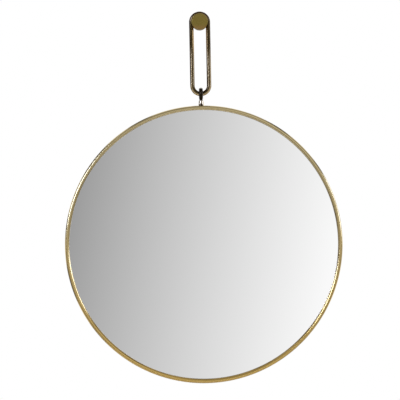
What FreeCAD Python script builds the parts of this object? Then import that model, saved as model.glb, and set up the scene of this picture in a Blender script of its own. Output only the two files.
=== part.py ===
import FreeCAD, Part
import math
import os
import Sketcher

# Round wall mirror that hangs by one long link from a turned peg on the wall.
# The origin is on the peg's axis at the wall. +Z is up, and the mirror faces -Y.
# Depths are measured from the wall towards the viewer, so a depth becomes a negative Y.

# Driving sizes in millimetres, angles in degrees

SIZES = {
    # fits
    "fit_clearance": 0.05,
    "hole_clearance": 0.25,
    "hanging_gap": 0.3,
    "cut_overrun": 5,
    # wall plug and its screw
    "plug_diameter": 10,
    "plug_length": 50,
    "plug_slit_width": 1.5,
    "plug_slit_length": 36,
    "screw_diameter": 6,
    "screw_length": 60,
    "screw_tip_length": 8,
    "screw_head_diameter": 12,
    "screw_head_height": 3.6,
    "screw_head_round": 1.2,
    "screw_recess_span": 6.4,
    "screw_recess_width": 1.4,
    "screw_recess_depth": 2.4,
    # peg
    "peg_base_diameter": 44,
    "peg_base_thickness": 9,
    "peg_base_round": 1.2,
    "peg_floor_thickness": 6,
    "peg_relief_diameter": 12,
    "peg_relief_depth": 1,
    "peg_groove_diameter": 32,
    "peg_groove_width": 18,
    "spigot_diameter": 14,
    "spigot_length": 9,
    "spigot_chamfer": 0.8,
    "tenon_diameter": 8,
    "tenon_length": 3.5,
    "tenon_end_gap": 0.3,
    "cap_diameter": 44,
    "cap_thickness": 6,
    "cap_edge_round": 1,
    # link
    "link_rod": 12,
    "link_gap": 33,
    "link_bend_spacing": 172,
    # eye ring, collar and what holds the shank inside the rim
    "hanging_depth": 18,
    "eye_wire": 11,
    "eye_bore_clearance": 0.4,
    "eye_neck_diameter": 9,
    "eye_neck_drop": 1,
    "eye_drop": 32,
    "shank_diameter": 6,
    "shank_end_run": 2.2,
    "collar_top_diameter": 12,
    "collar_base_diameter": 15,
    "block_width": 40,
    "block_depth": 10,
    "block_height": 6,
    "washer_diameter": 11,
    "washer_thickness": 1.2,
    "spring_washer_diameter": 10.4,
    "spring_washer_thickness": 1.6,
    "spring_washer_sweep": 345,
    "nut_across_flats": 10,
    "nut_height": 5,
    # frame
    "frame_diameter": 750,
    "hoop_width": 12,
    "hoop_flank": 3,
    "hoop_rise": 5,
    "band_inset": 1,
    "band_thickness": 2,
    "band_depth": 22,
    # what fills the frame, from the hoop back to the wall
    "gasket_thickness": 1,
    "gasket_inset": 1.5,
    "gasket_width": 5.5,
    "glass_thickness": 4,
    "glass_edge_gap": 2,
    "glass_arris": 0.5,
    "cushion_thickness": 4,
    "cushion_edge_gap": 4,
    "board_thickness": 9,
    "board_edge_gap": 2.5,
    "board_edge_chamfer": 1,
    "notch_width": 50,
    "notch_depth": 22,
    "bumper_height": 11,
    "bumper_base_diameter": 24,
    "bumper_face_diameter": 19,
    "bumper_round": 1.5,
    "bumper_rim_distance": 38,
    # tabs, their screws and the setting blocks
    "tab_width": 22,
    "tab_thickness": 1.2,
    "tab_leg": 8,
    "tab_reach": 26,
    "tab_screw_reach": 16,
    "tab_screw_diameter": 3.5,
    "tab_screw_length": 8,
    "tab_screw_tip": 3,
    "tab_screw_head_diameter": 7,
    "tab_screw_head_height": 2.2,
    "tab_screw_head_round": 0.7,
    "tab_recess_span": 3.8,
    "tab_recess_width": 0.9,
    "tab_recess_depth": 1.3,
    "setting_block_sweep": 5,
    "setting_block_spread": 50,
}

TAB_COUNT = 8
BUMPER_COUNT = 4
SETTING_BLOCK_COUNT = 2
NUT_SIDES = 6
QUARTER_TURN = 90
FULL_TURN = 360

# Angles that the first piece of a round is turned by, so that the round is the same left and right
TAB_TURN = "%s" % (FULL_TURN / TAB_COUNT / 2)
BUMPER_TURN = "%s" % (FULL_TURN / BUMPER_COUNT / 2)
SETTING_BLOCK_TURN = "(%s - sizes.setting_block_spread / 2)" % QUARTER_TURN

# Formulas for the sizes that follow from the driving ones

# depths of the faces, from the wall towards the viewer
PEG_FRONT = "(sizes.peg_base_thickness + sizes.peg_groove_width)"
CAP_FRONT = "(%s + sizes.cap_thickness)" % PEG_FRONT
BOARD_REAR = "sizes.bumper_height"
BOARD_FRONT = "(%s + sizes.board_thickness)" % BOARD_REAR
GLASS_REAR = "(%s + sizes.cushion_thickness)" % BOARD_FRONT
GLASS_FRONT = "(%s + sizes.glass_thickness)" % GLASS_REAR
HOOP_REAR = "(%s + sizes.gasket_thickness)" % GLASS_FRONT
HOOP_SHOULDER = "(%s + sizes.hoop_flank)" % HOOP_REAR
HOOP_FRONT = "(%s + sizes.hoop_rise)" % HOOP_SHOULDER
BAND_REAR = "(%s - sizes.band_depth)" % HOOP_REAR
TAB_REAR = "(%s - sizes.tab_thickness)" % BOARD_REAR

# radii about the frame's axis
FRAME_RADIUS = "(sizes.frame_diameter / 2)"
HOOP_INNER = "(%s - sizes.hoop_width)" % FRAME_RADIUS
BAND_OUTER = "(%s - sizes.band_inset)" % FRAME_RADIUS
BAND_INNER = "(%s - sizes.band_thickness)" % BAND_OUTER
GLASS_RADIUS = "(%s - sizes.glass_edge_gap)" % BAND_INNER
CUSHION_RADIUS = "(%s - sizes.cushion_edge_gap)" % BAND_INNER
BOARD_RADIUS = "(%s - sizes.board_edge_gap)" % BAND_INNER
GASKET_INNER = "(%s + sizes.gasket_inset)" % HOOP_INNER
NOTCH_FLOOR = "(%s - sizes.notch_depth)" % BAND_INNER
TAB_SCREW_RADIUS = "(%s - sizes.tab_screw_reach)" % BAND_INNER
BUMPER_RADIUS = "(%s - sizes.bumper_rim_distance)" % BAND_INNER

# link
ROD_RADIUS = "(sizes.link_rod / 2)"
LINK_INNER = "(sizes.link_gap / 2)"
BEND_RADIUS = "(%s + %s)" % (LINK_INNER, ROD_RADIUS)
UPPER_BEND = "(sizes.peg_groove_diameter / 2 + sizes.hanging_gap - %s)" % LINK_INNER
LOWER_BEND = "(%s - sizes.link_bend_spacing)" % UPPER_BEND

# eye ring, with its centre on the link's lower rod
EYE_HEIGHT = "(%s - %s)" % (LOWER_BEND, BEND_RADIUS)
WIRE_RADIUS = "(sizes.eye_wire / 2)"
EYE_MEAN = "(%s + sizes.eye_bore_clearance + %s)" % (ROD_RADIUS, WIRE_RADIUS)
NECK_END = "(%s + %s + sizes.eye_neck_drop)" % (EYE_MEAN, WIRE_RADIUS)
FRAME_HEIGHT = "(%s - sizes.eye_drop - %s)" % (EYE_HEIGHT, FRAME_RADIUS)

# heights of the hanger's pieces above the frame's axis
EYE_ABOVE_AXIS = "(%s + sizes.eye_drop)" % FRAME_RADIUS
COLLAR_TOP = "(%s - %s)" % (EYE_ABOVE_AXIS, NECK_END)
BLOCK_TOP = "(%s - sizes.fit_clearance)" % BAND_INNER
BLOCK_FOOT = "(%s - sizes.block_height)" % BAND_INNER
WASHER_FOOT = "(%s - sizes.washer_thickness)" % BLOCK_FOOT
SPRING_FOOT = "(%s - sizes.spring_washer_thickness)" % WASHER_FOOT
NUT_FOOT = "(%s - sizes.nut_height)" % SPRING_FOOT
SHANK_END = "(%s - sizes.shank_end_run)" % NUT_FOOT
SHANK_RADIUS = "(sizes.shank_diameter / 2)"
SHANK_HOLE = "(%s + sizes.hole_clearance)" % SHANK_RADIUS
SHANK_THREAD_HOLE = "(%s + sizes.fit_clearance)" % SHANK_RADIUS

doc = FreeCAD.newDocument("wall_mirror")
sheet = doc.addObject("Spreadsheet::Sheet", "sizes")


def fill_sheet():
    """One row for each driving size: its name and its value."""
    for row, (alias, number) in enumerate(SIZES.items(), start=1):
        sheet.set("A%d" % row, alias)
        sheet.set("B%d" % row, str(number))
        sheet.setAlias("B%d" % row, alias)
    doc.recompute()


def value(formula):
    """Number that a formula in the sheet's sizes gives now."""
    return float(sheet.evalExpression(formula))


def minus(formula):
    return "-%s" % formula


# Helpers for bodies, sketches and features

def new_body(name, height=None, turn=None):
    """Body whose own axes are the object's, raised to a height and turned about Y."""
    body = doc.addObject("PartDesign::Body", name)
    body.Label = name
    if turn is not None:
        about_y = FreeCAD.Rotation(FreeCAD.Vector(0, 1, 0), value(turn))
        body.Placement = FreeCAD.Placement(FreeCAD.Vector(), about_y)
        body.setExpression("Placement.Rotation.Angle", "%s * 1 deg" % turn)
    if height is not None:
        body.setExpression("Placement.Base.z", height)
    return body


def origin_feature(body, role):
    for feature in body.Origin.OriginFeatures:
        if feature.Role == role:
            return feature
    raise ValueError(role)


def new_sketch(body, role, name):
    sketch = body.newObject("Sketcher::SketchObject", name)
    sketch.AttachmentSupport = (origin_feature(body, role), [""])
    sketch.MapMode = "FlatFace"
    return sketch


def point_at(across, up):
    return FreeCAD.Vector(value(across), value(up), 0)


def pin_point(sketch, geometry, point, across, up):
    """Ties a point of a sketch to its two formulas, or to an axis where a formula is zero."""
    for kind, axis, formula in (("DistanceX", -2, across), ("DistanceY", -1, up)):
        if formula == "0":
            sketch.addConstraint(Sketcher.Constraint("PointOnObject", geometry, point, axis))
            continue
        index = sketch.addConstraint(Sketcher.Constraint(kind, geometry, point, value(formula)))
        sketch.setExpression("Constraints[%d]" % index, formula)


def draw_outline(sketch, corners):
    """Closed outline of straight lines. A corner is two formulas, with its radius third if it is round."""
    spots = [point_at(corner[0], corner[1]) for corner in corners]
    roundings = {}
    for index, corner in enumerate(corners):
        if len(corner) == 3:
            roundings[index] = rounding_points(spots, index, value(corner[2]))
    ends = [roundings[index][0] if index in roundings else spot for index, spot in enumerate(spots)]
    starts = [roundings[index][2] if index in roundings else spot for index, spot in enumerate(spots)]
    first = sketch.GeometryCount
    for start, end in zip(starts, ends[1:] + ends[:1]):
        sketch.addGeometry(Part.LineSegment(start, end))
    for index, corner in enumerate(corners):
        line = first + index
        line_before = first + (index - 1) % len(corners)
        if index in roundings:
            draw_rounding(sketch, line_before, line, corner, roundings[index])
        else:
            sketch.addConstraint(Sketcher.Constraint("Coincident", line_before, 2, line, 1))
            pin_point(sketch, line, 1, *corner)


def rounding_points(spots, index, radius):
    """Start, middle and end of the arc that rounds one corner of an outline."""
    corner = spots[index]
    to_before = (spots[index - 1] - corner).normalize()
    to_after = (spots[(index + 1) % len(spots)] - corner).normalize()
    half_angle = to_before.getAngle(to_after) / 2
    run = radius / math.tan(half_angle)
    inward = (to_before + to_after).normalize()
    crest = corner + inward * (radius / math.sin(half_angle) - radius)
    return corner + to_before * run, crest, corner + to_after * run


def draw_rounding(sketch, line_before, line_after, corner, points):
    """Arc tangent to two lines whose straight runs meet at the corner."""
    across, up, radius = corner
    meeting = sketch.addGeometry(Part.Point(point_at(across, up)), True)
    pin_point(sketch, meeting, 1, across, up)
    sketch.addConstraint(Sketcher.Constraint("PointOnObject", meeting, 1, line_before))
    sketch.addConstraint(Sketcher.Constraint("PointOnObject", meeting, 1, line_after))
    arc = sketch.addGeometry(Part.Arc(*points))
    arc_start, arc_end = arc_ends(sketch, arc, points[0])
    sketch.addConstraint(Sketcher.Constraint("Tangent", line_before, 2, arc, arc_start))
    sketch.addConstraint(Sketcher.Constraint("Tangent", arc, arc_end, line_after, 1))
    tie = sketch.addConstraint(Sketcher.Constraint("Radius", arc, value(radius)))
    sketch.setExpression("Constraints[%d]" % tie, radius)


def arc_ends(sketch, arc, spot):
    """Numbers of an arc's two end points, the one that lies on the spot first."""
    distance_to_start = sketch.getPoint(arc, 1).distanceToPoint(spot)
    distance_to_end = sketch.getPoint(arc, 2).distanceToPoint(spot)
    return (1, 2) if distance_to_start < distance_to_end else (2, 1)


def draw_circle(sketch, across, up, radius):
    circle = Part.Circle(point_at(across, up), FreeCAD.Vector(0, 0, 1), value(radius))
    index = sketch.addGeometry(circle)
    pin_point(sketch, index, 3, across, up)
    tie = sketch.addConstraint(Sketcher.Constraint("Radius", index, value(radius)))
    sketch.setExpression("Constraints[%d]" % tie, radius)


def draw_turning_axis(sketch, across):
    """Construction line along the sketch's upright direction, named Axis0 for revolutions."""
    length = "sizes.cut_overrun"
    line = Part.LineSegment(point_at(across, "0"), point_at(across, length))
    index = sketch.addGeometry(line, True)
    pin_point(sketch, index, 1, across, "0")
    pin_point(sketch, index, 2, across, length)


def turned(body, sketch, name, axis="V_Axis", sweep=None, centred=False):
    """Revolution of a sketch about one of its axes, whole or by a swept angle."""
    feature = body.newObject("PartDesign::Revolution", name)
    feature.Profile = sketch
    feature.ReferenceAxis = (sketch, [axis])
    feature.Midplane = centred
    feature.Angle = FULL_TURN
    if sweep is not None:
        feature.setExpression("Angle", sweep)
    return feature


def extruded(body, sketch, name, length):
    """Pad, half to each side of the sketch's plane."""
    feature = body.newObject("PartDesign::Pad", name)
    feature.Profile = sketch
    feature.SideType = "Symmetric"
    feature.setExpression("Length", length)
    return feature


def pocket(body, sketch, name, length, both_ways=False, flipped=False):
    """Cut along the sketch's normal, which has to take something away."""
    doc.recompute()
    volume_before = body.Shape.Volume
    feature = body.newObject("PartDesign::Pocket", name)
    feature.Profile = sketch
    if both_ways:
        feature.SideType = "Symmetric"
    feature.Reversed = flipped
    feature.setExpression("Length", length)
    doc.recompute()
    if not body.Shape.Volume < volume_before:
        raise RuntimeError("the pocket %s cuts nothing" % name)
    return feature


def repeated_about_y(body, features, name, count, sweep=None):
    """The features, or the whole body, repeated round its Y axis, all the way or over a swept angle."""
    doc.recompute()
    pattern = body.newObject("PartDesign::PolarPattern", name)
    if features is None:
        pattern.TransformMode = "Whole shape"
    else:
        pattern.Originals = features
    pattern.Axis = (origin_feature(body, "Y_Axis"), [""])
    pattern.Angle = FULL_TURN
    if sweep is not None:
        pattern.setExpression("Angle", sweep)
    pattern.Occurrences = count
    body.Tip = pattern
    return pattern


def turned_about_y(name, corners, height=None):
    """Body turned from one outline of radii and depths, with a third value where a corner is rounded."""
    body = new_body(name, height)
    sketch = new_sketch(body, "XY_Plane", name + "_outline")
    outline = []
    for radius, depth, *rounding in corners:
        outline.append((radius, minus(depth) if depth != "0" else depth, *rounding))
    draw_outline(sketch, outline)
    turned(body, sketch, name + "_turned")
    return body


def draw_cross(sketch, across, up, span, width):
    """Outline of a cross recess about a centre."""
    half = "%s / 2" % span
    slot = "%s / 2" % width
    steps = [
        (half, slot, 1, -1), (half, slot, 1, 1), (slot, slot, 1, 1),
        (slot, half, 1, 1), (slot, half, -1, 1), (slot, slot, -1, 1),
        (half, slot, -1, 1), (half, slot, -1, -1), (slot, slot, -1, -1),
        (slot, half, -1, -1), (slot, half, 1, -1), (slot, slot, 1, -1),
    ]
    signs = {1: "+", -1: "-"}
    corners = []
    for reach_across, reach_up, side, level in steps:
        corner_across = "%s %s %s" % (across, signs[side], reach_across)
        corner_up = "%s %s %s" % (up, signs[level], reach_up)
        corners.append((corner_across, corner_up))
    draw_outline(sketch, corners)


# What holds the peg to the wall

def make_wall_plug():
    body = new_body("wall_plug")
    sketch = new_sketch(body, "XY_Plane", "wall_plug_outline")
    bore = "sizes.screw_diameter / 2 + sizes.fit_clearance"
    outer = "sizes.plug_diameter / 2"
    end = "sizes.plug_length"
    draw_outline(sketch, [(bore, "0"), (outer, "0"), (outer, end), (bore, end)])
    turned(body, sketch, "wall_plug_turned")
    slit = new_sketch(body, "XY_Plane", "wall_plug_slit_outline")
    half_slit = "sizes.plug_slit_width / 2"
    slit_start = "sizes.plug_length - sizes.plug_slit_length"
    slit_end = "sizes.plug_length + sizes.cut_overrun"
    draw_outline(slit, [(minus(half_slit), slit_start), (half_slit, slit_start),
                        (half_slit, slit_end), (minus(half_slit), slit_end)])
    pocket(body, slit, "wall_plug_slit", "sizes.plug_diameter + sizes.cut_overrun", both_ways=True)
    return body


def make_wall_screw():
    """Screw with its head seated on the floor of the peg's bore."""
    body = new_body("wall_screw")
    sketch = new_sketch(body, "XY_Plane", "wall_screw_outline")
    seat = "-sizes.peg_floor_thickness"
    top = "%s - sizes.screw_head_height" % seat
    end = "%s + sizes.screw_length" % seat
    shank = "sizes.screw_diameter / 2"
    head = "sizes.screw_head_diameter / 2"
    draw_outline(sketch, [("0", top), (head, top, "sizes.screw_head_round"), (head, seat), (shank, seat),
                          (shank, "%s - sizes.screw_tip_length" % end), ("0", end)])
    turned(body, sketch, "wall_screw_turned")
    cross = new_sketch(body, "XZ_Plane", "wall_screw_recess_outline")
    draw_cross(cross, "0", "0", "sizes.screw_recess_span", "sizes.screw_recess_width")
    cross.setExpression("AttachmentOffset.Base.z", "sizes.peg_floor_thickness + sizes.screw_head_height")
    pocket(body, cross, "wall_screw_recess", "sizes.screw_recess_depth")
    return body


# Peg

def make_peg_barrel():
    """Wide base against the wall and the link's groove, bored for the screw and the spigot.
    A shallow relief behind keeps the base clear of the plug's end."""
    relief = "sizes.peg_relief_diameter / 2"
    hole = "sizes.screw_diameter / 2 + sizes.hole_clearance"
    bore = "sizes.spigot_diameter / 2 + sizes.fit_clearance"
    base = "sizes.peg_base_diameter / 2"
    groove = "sizes.peg_groove_diameter / 2"
    return turned_about_y("peg_barrel", [
        (relief, "0"),
        (base, "0"),
        (base, "sizes.peg_base_thickness", "sizes.peg_base_round"),
        (groove, "sizes.peg_base_thickness"),
        (groove, PEG_FRONT),
        (bore, PEG_FRONT),
        (bore, "sizes.peg_floor_thickness"),
        (hole, "sizes.peg_floor_thickness"),
        (hole, "sizes.peg_relief_depth"),
        (relief, "sizes.peg_relief_depth"),
    ])


def make_cap_spigot():
    """Threaded spigot in the barrel's bore, with the tenon that the cap sits on."""
    tip = "sizes.spigot_diameter / 2"
    tenon = "sizes.tenon_diameter / 2"
    inner_end = "(%s - sizes.spigot_length)" % PEG_FRONT
    return turned_about_y("cap_spigot", [
        ("0", inner_end),
        (tip + " - sizes.spigot_chamfer", inner_end),
        (tip, "(%s + sizes.spigot_chamfer)" % inner_end),
        (tip, PEG_FRONT),
        (tenon, PEG_FRONT),
        (tenon, "(%s + sizes.tenon_length)" % PEG_FRONT),
        ("0", "(%s + sizes.tenon_length)" % PEG_FRONT),
    ])


def make_peg_cap():
    """Flat disc on the peg's front, wider than the link's gap, with a blind bore for the tenon."""
    bore = "sizes.tenon_diameter / 2 + sizes.fit_clearance"
    bore_end = "(%s + sizes.tenon_length + sizes.tenon_end_gap)" % PEG_FRONT
    rim = "sizes.cap_diameter / 2"
    return turned_about_y("peg_cap", [
        ("0", bore_end),
        (bore, bore_end),
        (bore, PEG_FRONT),
        (rim, PEG_FRONT),
        (rim, CAP_FRONT, "sizes.cap_edge_round"),
        ("0", CAP_FRONT),
    ])


# Link

def make_chain_link():
    """Long oval of round rod: a circle swept along two legs and two half-circle bends."""
    body = new_body("chain_link", "%s - sizes.link_bend_spacing / 2" % UPPER_BEND)
    body.setExpression("Placement.Base.y", "-sizes.hanging_depth")
    spine = new_sketch(body, "XZ_Plane", "chain_link_path")
    bend = value(BEND_RADIUS)
    half = value("sizes.link_bend_spacing / 2")
    normal = FreeCAD.Vector(0, 0, 1)
    right = Part.LineSegment(FreeCAD.Vector(bend, -half, 0), FreeCAD.Vector(bend, half, 0))
    top_circle = Part.Circle(FreeCAD.Vector(0, half, 0), normal, bend)
    top = Part.ArcOfCircle(top_circle, 0, math.pi)
    left = Part.LineSegment(FreeCAD.Vector(-bend, half, 0), FreeCAD.Vector(-bend, -half, 0))
    foot_circle = Part.Circle(FreeCAD.Vector(0, -half, 0), normal, bend)
    foot = Part.ArcOfCircle(foot_circle, math.pi, 2 * math.pi)
    for curve in (right, top, left, foot):
        spine.addGeometry(curve)
    for line in range(spine.GeometryCount):
        following = (line + 1) % spine.GeometryCount
        spine.addConstraint(Sketcher.Constraint("Tangent", line, 2, following, 1))
    half_formula = "sizes.link_bend_spacing / 2"
    pin_point(spine, 1, 3, "0", half_formula)
    pin_point(spine, 3, 3, "0", minus(half_formula))
    tie = spine.addConstraint(Sketcher.Constraint("Radius", 1, bend))
    spine.setExpression("Constraints[%d]" % tie, BEND_RADIUS)
    spine.addConstraint(Sketcher.Constraint("Equal", 1, 3))
    section = new_sketch(body, "XY_Plane", "chain_link_section")
    draw_circle(section, BEND_RADIUS, "0", ROD_RADIUS)
    doc.recompute()
    pipe = body.newObject("PartDesign::AdditivePipe", "chain_link_rod")
    pipe.Profile = section
    pipe.Spine = spine
    return body


# Hanger on the frame's top

def make_eye_bolt():
    """Closed ring round the link's rod, with its neck and its shank down through the rim."""
    body = new_body("eye_bolt", EYE_HEIGHT)
    body.setExpression("Placement.Base.y", "-sizes.hanging_depth")
    ring = new_sketch(body, "XY_Plane", "eye_ring_section")
    draw_circle(ring, "0", EYE_MEAN, WIRE_RADIUS)
    turned(body, ring, "eye_ring", axis="H_Axis")
    shank = new_sketch(body, "XZ_Plane", "eye_shank_outline")
    shank_end = "(%s - %s)" % (SHANK_END, EYE_ABOVE_AXIS)
    neck = "(sizes.eye_neck_diameter / 2)"
    draw_outline(shank, [
        ("0", minus(EYE_MEAN)),
        (neck, minus(EYE_MEAN)),
        (neck, minus(NECK_END)),
        (SHANK_RADIUS, minus(NECK_END)),
        (SHANK_RADIUS, shank_end),
        ("0", shank_end),
    ])
    turned(body, shank, "eye_shank")
    return body


def turned_about_z(name, corners, sweep=None):
    """Body turned about the eye's upright axis, from radii and heights above the frame's axis."""
    body = new_body(name, FRAME_HEIGHT)
    body.setExpression("Placement.Base.y", "-sizes.hanging_depth")
    sketch = new_sketch(body, "XZ_Plane", name + "_outline")
    draw_outline(sketch, corners)
    turned(body, sketch, name + "_turned", sweep=sweep)
    return body


def make_eye_collar():
    """Tapered collar between the ring and the rim."""
    top = "sizes.collar_top_diameter / 2"
    foot = "sizes.collar_base_diameter / 2"
    return turned_about_z("eye_collar", [
        (SHANK_HOLE, BAND_OUTER), (foot, BAND_OUTER), (top, COLLAR_TOP), (SHANK_HOLE, COLLAR_TOP)])


def make_hanger_block():
    """Block inside the rim, curved to it on top, which the shank passes through."""
    body = new_body("hanger_block", FRAME_HEIGHT)
    body.setExpression("Placement.Base.y", "-sizes.hanging_depth")
    sketch = new_sketch(body, "XZ_Plane", "hanger_block_outline")
    half = "sizes.block_width / 2"
    shoulder = "sqrt(%s ^ 2 - (%s) ^ 2)" % (BLOCK_TOP, half)
    foot_left = point_at(minus(half), BLOCK_FOOT)
    foot_right = point_at(half, BLOCK_FOOT)
    top_left = point_at(minus(half), shoulder)
    top_right = point_at(half, shoulder)
    crown = Part.Arc(top_right, point_at("0", BLOCK_TOP), top_left)
    for curve in (Part.LineSegment(top_left, foot_left), Part.LineSegment(foot_left, foot_right),
                  Part.LineSegment(foot_right, top_right), crown):
        sketch.addGeometry(curve)
    sketch.addConstraint(Sketcher.Constraint("Coincident", 0, 2, 1, 1))
    sketch.addConstraint(Sketcher.Constraint("Coincident", 1, 2, 2, 1))
    sketch.addConstraint(Sketcher.Constraint("Coincident", 2, 2, 3, 1))
    sketch.addConstraint(Sketcher.Constraint("Coincident", 3, 2, 0, 1))
    pin_point(sketch, 1, 1, minus(half), BLOCK_FOOT)
    pin_point(sketch, 1, 2, half, BLOCK_FOOT)
    pin_point(sketch, 3, 3, "0", "0")
    sketch.addConstraint(Sketcher.Constraint("Vertical", 0))
    sketch.addConstraint(Sketcher.Constraint("Vertical", 2))
    tie = sketch.addConstraint(Sketcher.Constraint("Radius", 3, value(BLOCK_TOP)))
    sketch.setExpression("Constraints[%d]" % tie, BLOCK_TOP)
    extruded(body, sketch, "hanger_block_pad", "sizes.block_depth")
    hole = new_sketch(body, "XY_Plane", "hanger_block_hole_outline")
    draw_circle(hole, "0", "0", SHANK_HOLE)
    pocket(body, hole, "hanger_block_hole", "%s + sizes.cut_overrun" % FRAME_RADIUS, flipped=True)
    return body


def make_eye_washer():
    rim = "sizes.washer_diameter / 2"
    return turned_about_z("eye_washer", [
        (SHANK_HOLE, WASHER_FOOT), (rim, WASHER_FOOT), (rim, BLOCK_FOOT), (SHANK_HOLE, BLOCK_FOOT)])


def make_spring_washer():
    """Washer with a gap in it, which keeps the nut from working loose."""
    rim = "sizes.spring_washer_diameter / 2"
    return turned_about_z("spring_washer", [
        (SHANK_HOLE, SPRING_FOOT), (rim, SPRING_FOOT), (rim, WASHER_FOOT), (SHANK_HOLE, WASHER_FOOT)],
        sweep="sizes.spring_washer_sweep")


def make_eye_nut():
    """Hexagon nut, its flats facing the glass and the wall."""
    prism = doc.addObject("Part::Prism", "eye_nut_hexagon")
    prism.Polygon = NUT_SIDES
    prism.setExpression("Circumradius", "sizes.nut_across_flats / 2 / cos(180 deg / %d)" % NUT_SIDES)
    prism.setExpression("Height", "sizes.nut_height")
    bore = doc.addObject("Part::Cylinder", "eye_nut_bore")
    bore.setExpression("Radius", SHANK_THREAD_HOLE)
    bore.setExpression("Height", "sizes.nut_height + 2 * sizes.cut_overrun")
    bore.setExpression("Placement.Base.z", "-sizes.cut_overrun")
    nut = doc.addObject("Part::Cut", "eye_nut")
    nut.Label = "eye_nut"
    nut.Base = prism
    nut.Tool = bore
    nut.setExpression("Placement.Base.y", "-sizes.hanging_depth")
    nut.setExpression("Placement.Base.z", "%s + %s" % (FRAME_HEIGHT, NUT_FOOT))
    return nut


# Frame

def make_front_hoop():
    """Hoop that shows from the front: flat back, short straight flanks and a rounded face."""
    body = new_body("front_hoop", FRAME_HEIGHT)
    sketch = new_sketch(body, "XY_Plane", "front_hoop_outline")
    middle = "(%s - sizes.hoop_width / 2)" % FRAME_RADIUS
    crest = Part.Arc(point_at(FRAME_RADIUS, minus(HOOP_SHOULDER)), point_at(middle, minus(HOOP_FRONT)),
                     point_at(HOOP_INNER, minus(HOOP_SHOULDER)))
    corners = [(HOOP_INNER, HOOP_SHOULDER), (HOOP_INNER, HOOP_REAR),
               (FRAME_RADIUS, HOOP_REAR), (FRAME_RADIUS, HOOP_SHOULDER)]
    spots = [point_at(across, minus(depth)) for across, depth in corners]
    for start, end in zip(spots, spots[1:]):
        sketch.addGeometry(Part.LineSegment(start, end))
    arc = sketch.addGeometry(crest)
    arc_start, arc_end = arc_ends(sketch, arc, spots[-1])
    sketch.addConstraint(Sketcher.Constraint("Coincident", 0, 2, 1, 1))
    sketch.addConstraint(Sketcher.Constraint("Coincident", 1, 2, 2, 1))
    sketch.addConstraint(Sketcher.Constraint("Coincident", 2, 2, arc, arc_start))
    sketch.addConstraint(Sketcher.Constraint("Coincident", arc, arc_end, 0, 1))
    for line, (across, depth) in enumerate(corners[:3]):
        pin_point(sketch, line, 1, across, minus(depth))
    pin_point(sketch, 2, 2, FRAME_RADIUS, minus(HOOP_SHOULDER))
    round_radius = "(((sizes.hoop_width / 2) ^ 2 + sizes.hoop_rise ^ 2) / (2 * sizes.hoop_rise))"
    round_centre = minus("(%s - %s)" % (HOOP_FRONT, round_radius))
    tie = sketch.addConstraint(Sketcher.Constraint("DistanceY", arc, 3, value(round_centre)))
    sketch.setExpression("Constraints[%d]" % tie, round_centre)
    turned(body, sketch, "front_hoop_turned")
    return body


def make_rim_band():
    """Rolled strip behind the hoop, with the hole for the eye's shank at the top."""
    body = turned_about_y("rim_band", [
        (BAND_INNER, BAND_REAR), (BAND_OUTER, BAND_REAR), (BAND_OUTER, HOOP_REAR), (BAND_INNER, HOOP_REAR)],
        FRAME_HEIGHT)
    hole = new_sketch(body, "XY_Plane", "rim_band_hole_outline")
    draw_circle(hole, "0", "-sizes.hanging_depth", SHANK_HOLE)
    pocket(body, hole, "rim_band_hole", "%s + sizes.cut_overrun" % FRAME_RADIUS, flipped=True)
    return body


# Glass and what backs it

def make_glazing_gasket():
    outer = "(%s + sizes.gasket_width)" % GASKET_INNER
    return turned_about_y("glazing_gasket", [
        (GASKET_INNER, GLASS_FRONT), (outer, GLASS_FRONT), (outer, HOOP_REAR), (GASKET_INNER, HOOP_REAR)],
        FRAME_HEIGHT)


def make_mirror_glass():
    """Silvered float glass with its sharp edges taken off."""
    shoulder = "(%s - sizes.glass_arris)" % GLASS_RADIUS
    return turned_about_y("mirror_glass", [
        ("0", GLASS_REAR),
        (shoulder, GLASS_REAR),
        (GLASS_RADIUS, "(%s + sizes.glass_arris)" % GLASS_REAR),
        (GLASS_RADIUS, "(%s - sizes.glass_arris)" % GLASS_FRONT),
        (shoulder, GLASS_FRONT),
        ("0", GLASS_FRONT),
    ], FRAME_HEIGHT)


def cut_notch(body, name):
    """Notch at the top that leaves room for the block, the washers and the nut."""
    notch = new_sketch(body, "XZ_Plane", name + "_outline")
    half = "sizes.notch_width / 2"
    top = "(%s + sizes.cut_overrun)" % FRAME_RADIUS
    draw_outline(notch, [(minus(half), NOTCH_FLOOR), (half, NOTCH_FLOOR), (half, top), (minus(half), top)])
    return pocket(body, notch, name, "2 * %s" % GLASS_REAR, both_ways=True)


def make_cushion_sheet():
    """Foam sheet that keeps the board off the glass's painted back."""
    body = turned_about_y("cushion_sheet", [
        ("0", BOARD_FRONT), (CUSHION_RADIUS, BOARD_FRONT), (CUSHION_RADIUS, GLASS_REAR), ("0", GLASS_REAR)],
        FRAME_HEIGHT)
    cut_notch(body, "cushion_sheet_notch")
    return body


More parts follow.
